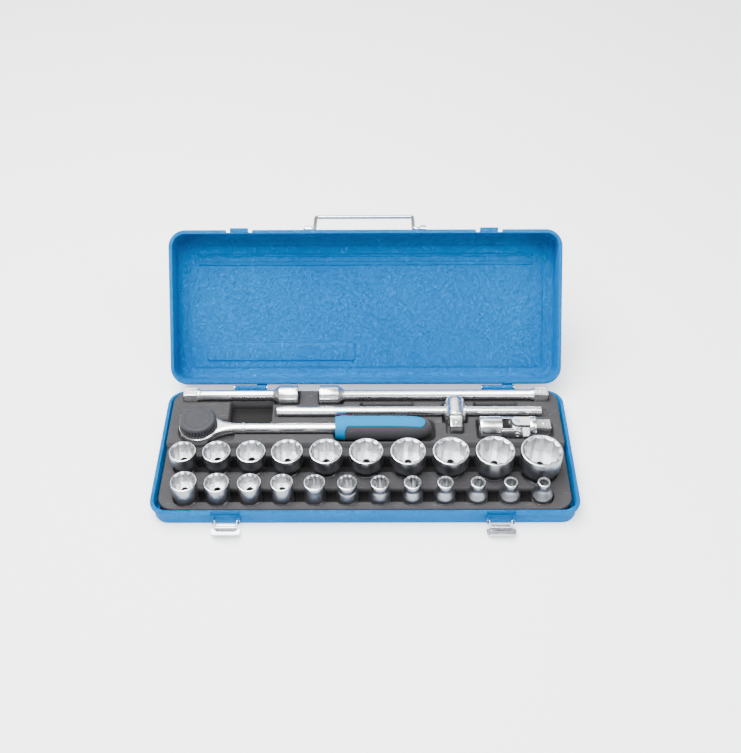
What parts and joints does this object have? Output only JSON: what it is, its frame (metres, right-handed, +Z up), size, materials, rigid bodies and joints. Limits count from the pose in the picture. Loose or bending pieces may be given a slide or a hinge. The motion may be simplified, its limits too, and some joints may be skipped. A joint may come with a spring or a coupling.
{
  "type": "socket wrench set in case",
  "caption": "Half-inch drive socket wrench set in a hinged blue steel case: sockets, ratchet, extensions, T-bar and universal joint in a moulded tray.",
  "frame": {"origin": "centre of the case's flat underside, which rests on the ground", "axes": "+X along the case's width to the right, +Y from the latches back towards the hinges, +Z up"},
  "size_m": [0.437, 0.3552, 0.1555],
  "materials": {
    "blue_enamel": "hammered enamel",
    "tray_plastic": "fine moulded grain",
    "polished_chrome": "polished",
    "satin_chrome": "satin",
    "zinc_plate": "bright zinc",
    "cap_plastic": "knurled",
    "grip_rubber": "soft",
    "grip_blue": "smooth"
  },
  "bodies": {
    "case": {"case_base": "blue_enamel", "tray_insert": "tray_plastic", "hinge_base_leaf_left": "blue_enamel", "hinge_pin_left": "zinc_plate", "latch_bracket_left": "blue_enamel", "hinge_base_leaf_right": "blue_enamel", "hinge_pin_right": "zinc_plate", "latch_bracket_right": "blue_enamel"},
    "lid": {"case_lid": "blue_enamel", "hinge_lid_leaf_left": "blue_enamel", "lid_catch_left": "blue_enamel", "handle_clip_left": "zinc_plate", "hinge_lid_leaf_right": "blue_enamel", "lid_catch_right": "blue_enamel", "handle_clip_right": "zinc_plate"},
    "handle": {"handle_bail": "polished_chrome"},
    "latch_link_left": {"latch_link_left": "polished_chrome"},
    "latch_lever_left": {"latch_lever_left": "polished_chrome"},
    "latch_link_right": {"latch_link_right": "polished_chrome"},
    "latch_lever_right": {"latch_lever_right": "polished_chrome"},
    "ratchet": {"ratchet_body": "polished_chrome", "ratchet_grip": "grip_rubber", "ratchet_grip_inlay": "grip_blue"},
    "ratchet_cap": {"ratchet_selector_cap": "cap_plastic"},
    "ratchet_drive": {"ratchet_drive": "satin_chrome"},
    "extension_125": {"extension_bar_125": "polished_chrome"},
    "extension_250": {"extension_bar_250": "polished_chrome"},
    "t_bar": {"t_bar_rod": "polished_chrome"},
    "t_bar_slider": {"t_bar_slider": "polished_chrome"},
    "joint_socket": {"universal_joint_socket": "polished_chrome"},
    "joint_cross": {"universal_joint_cross": "satin_chrome"},
    "joint_square": {"universal_joint_square": "polished_chrome"},
    "socket_20": {"socket_20_mm": "polished_chrome"},
    "socket_21": {"socket_21_mm": "polished_chrome"},
    "socket_22": {"socket_22_mm": "polished_chrome"},
    "socket_24": {"socket_24_mm": "polished_chrome"},
    "socket_25": {"socket_25_mm": "polished_chrome"},
    "socket_26": {"socket_26_mm": "polished_chrome"},
    "socket_27": {"socket_27_mm": "polished_chrome"},
    "socket_28": {"socket_28_mm": "polished_chrome"},
    "socket_30": {"socket_30_mm": "polished_chrome"},
    "socket_32": {"socket_32_mm": "polished_chrome"},
    "socket_19": {"socket_19_mm": "polished_chrome"},
    "socket_18": {"socket_18_mm": "polished_chrome"},
    "socket_17": {"socket_17_mm": "polished_chrome"},
    "socket_16": {"socket_16_mm": "polished_chrome"},
    "socket_15": {"socket_15_mm": "polished_chrome"},
    "socket_14": {"socket_14_mm": "polished_chrome"},
    "socket_13": {"socket_13_mm": "polished_chrome"},
    "socket_12": {"socket_12_mm": "polished_chrome"},
    "socket_11": {"socket_11_mm": "polished_chrome"},
    "socket_10": {"socket_10_mm": "polished_chrome"},
    "socket_9": {"socket_9_mm": "polished_chrome"},
    "socket_8": {"socket_8_mm": "polished_chrome"}
  },
  "joints": [
    {"name": "lid_hinge", "type": "hinge", "parent": "case", "child": "lid", "pos_m": [0, 0.0894, 0.02115], "axis": [-1, 0, 0], "range_deg": [-130, 0]},
    {"name": "handle_hinge", "type": "hinge", "parent": "lid", "child": "handle", "pos_m": [0, 0.21908, 0.14326], "axis": [-1, 0, 0], "range_deg": [-145, 0]},
    {"name": "latch_link_left_hinge", "type": "hinge", "parent": "case", "child": "latch_link_left", "pos_m": [-0.14, -0.0876, 0.011], "axis": [-1, 0, 0], "range_deg": [0, 102]},
    {"name": "latch_lever_left_hinge", "type": "hinge", "parent": "latch_link_left", "child": "latch_lever_left", "pos_m": [-0.14, -0.09542, 0.00934], "axis": [-1, 0, 0], "range_deg": [-40, 2]},
    {"name": "latch_link_right_hinge", "type": "hinge", "parent": "case", "child": "latch_link_right", "pos_m": [0.137, -0.0876, 0.011], "axis": [-1, 0, 0], "range_deg": [0, 102]},
    {"name": "latch_lever_right_hinge", "type": "hinge", "parent": "latch_link_right", "child": "latch_lever_right", "pos_m": [0.137, -0.09542, 0.00934], "axis": [-1, 0, 0], "range_deg": [-40, 2]},
    {"name": "ratchet_lift", "type": "slide", "parent": "case", "child": "ratchet", "axis": [0, 0, 1], "range_m": [0, 0.1]},
    {"name": "selector_turn", "type": "hinge", "parent": "ratchet", "child": "ratchet_cap", "pos_m": [-0.1775, 0.0215, 0.04], "axis": [0, 0, 1], "range_deg": [0, 60]},
    {"name": "drive_turn", "type": "hinge", "parent": "ratchet", "child": "ratchet_drive", "pos_m": [-0.1775, 0.0215, 0.02], "axis": [0, 0, 1], "continuous": true},
    {"name": "extension_125_lift", "type": "slide", "parent": "case", "child": "extension_125", "axis": [0, 0, 1], "range_m": [0, 0.1]},
    {"name": "extension_250_lift", "type": "slide", "parent": "case", "child": "extension_250", "axis": [0, 0, 1], "range_m": [0, 0.1]},
    {"name": "t_bar_lift", "type": "slide", "parent": "case", "child": "t_bar", "axis": [0, 0, 1], "range_m": [0, 0.2]},
    {"name": "slider_slide", "type": "slide", "parent": "t_bar", "child": "t_bar_slider", "axis": [1, 0, 0], "range_m": [-0.08, 0]},
    {"name": "joint_lift", "type": "slide", "parent": "case", "child": "joint_socket", "axis": [0, 0, 1], "range_m": [0, 0.1]},
    {"name": "joint_tilt", "type": "hinge", "parent": "joint_socket", "child": "joint_cross", "pos_m": [0.1615, 0.022, 0.029], "axis": [0, -1, 0], "range_deg": [0, 30]},
    {"name": "joint_swing", "type": "hinge", "parent": "joint_cross", "child": "joint_square", "pos_m": [0.1615, 0.022, 0.029], "axis": [0, 0, 1], "range_deg": [0, 30]},
    {"name": "socket_20_lift", "type": "slide", "parent": "case", "child": "socket_20", "axis": [0, 0, 1], "range_m": [0, 0.07]},
    {"name": "socket_21_lift", "type": "slide", "parent": "case", "child": "socket_21", "axis": [0, 0, 1], "range_m": [0, 0.07]},
    {"name": "socket_22_lift", "type": "slide", "parent": "case", "child": "socket_22", "axis": [0, 0, 1], "range_m": [0, 0.07]},
    {"name": "socket_24_lift", "type": "slide", "parent": "case", "child": "socket_24", "axis": [0, 0, 1], "range_m": [0, 0.07]},
    {"name": "socket_25_lift", "type": "slide", "parent": "case", "child": "socket_25", "axis": [0, 0, 1], "range_m": [0, 0.07]},
    {"name": "socket_26_lift", "type": "slide", "parent": "case", "child": "socket_26", "axis": [0, 0, 1], "range_m": [0, 0.07]},
    {"name": "socket_27_lift", "type": "slide", "parent": "case", "child": "socket_27", "axis": [0, 0, 1], "range_m": [0, 0.07]},
    {"name": "socket_28_lift", "type": "slide", "parent": "case", "child": "socket_28", "axis": [0, 0, 1], "range_m": [0, 0.07]},
    {"name": "socket_30_lift", "type": "slide", "parent": "case", "child": "socket_30", "axis": [0, 0, 1], "range_m": [0, 0.07]},
    {"name": "socket_32_lift", "type": "slide", "parent": "case", "child": "socket_32", "axis": [0, 0, 1], "range_m": [0, 0.07]},
    {"name": "socket_19_lift", "type": "slide", "parent": "case", "child": "socket_19", "axis": [0, 0, 1], "range_m": [0, 0.07]},
    {"name": "socket_18_lift", "type": "slide", "parent": "case", "child": "socket_18", "axis": [0, 0, 1], "range_m": [0, 0.07]},
    {"name": "socket_17_lift", "type": "slide", "parent": "case", "child": "socket_17", "axis": [0, 0, 1], "range_m": [0, 0.07]},
    {"name": "socket_16_lift", "type": "slide", "parent": "case", "child": "socket_16", "axis": [0, 0, 1], "range_m": [0, 0.07]},
    {"name": "socket_15_lift", "type": "slide", "parent": "case", "child": "socket_15", "axis": [0, 0, 1], "range_m": [0, 0.07]},
    {"name": "socket_14_lift", "type": "slide", "parent": "case", "child": "socket_14", "axis": [0, 0, 1], "range_m": [0, 0.07]},
    {"name": "socket_13_lift", "type": "slide", "parent": "case", "child": "socket_13", "axis": [0, 0, 1], "range_m": [0, 0.07]},
    {"name": "socket_12_lift", "type": "slide", "parent": "case", "child": "socket_12", "axis": [0, 0, 1], "range_m": [0, 0.07]},
    {"name": "socket_11_lift", "type": "slide", "parent": "case", "child": "socket_11", "axis": [0, 0, 1], "range_m": [0, 0.07]},
    {"name": "socket_10_lift", "type": "slide", "parent": "case", "child": "socket_10", "axis": [0, 0, 1], "range_m": [0, 0.07]},
    {"name": "socket_9_lift", "type": "slide", "parent": "case", "child": "socket_9", "axis": [0, 0, 1], "range_m": [0, 0.07]},
    {"name": "socket_8_lift", "type": "slide", "parent": "case", "child": "socket_8", "axis": [0, 0, 1], "range_m": [0, 0.07]}
  ],
  "couplings": [
    {"joint": "slider_slide", "follows": "t_bar_lift", "ratio": -0.4},
    {"joint": "joint_tilt", "follows": "joint_lift", "rad_per_m": 5.236},
    {"joint": "joint_swing", "follows": "joint_lift", "rad_per_m": 5.236}
  ]
}
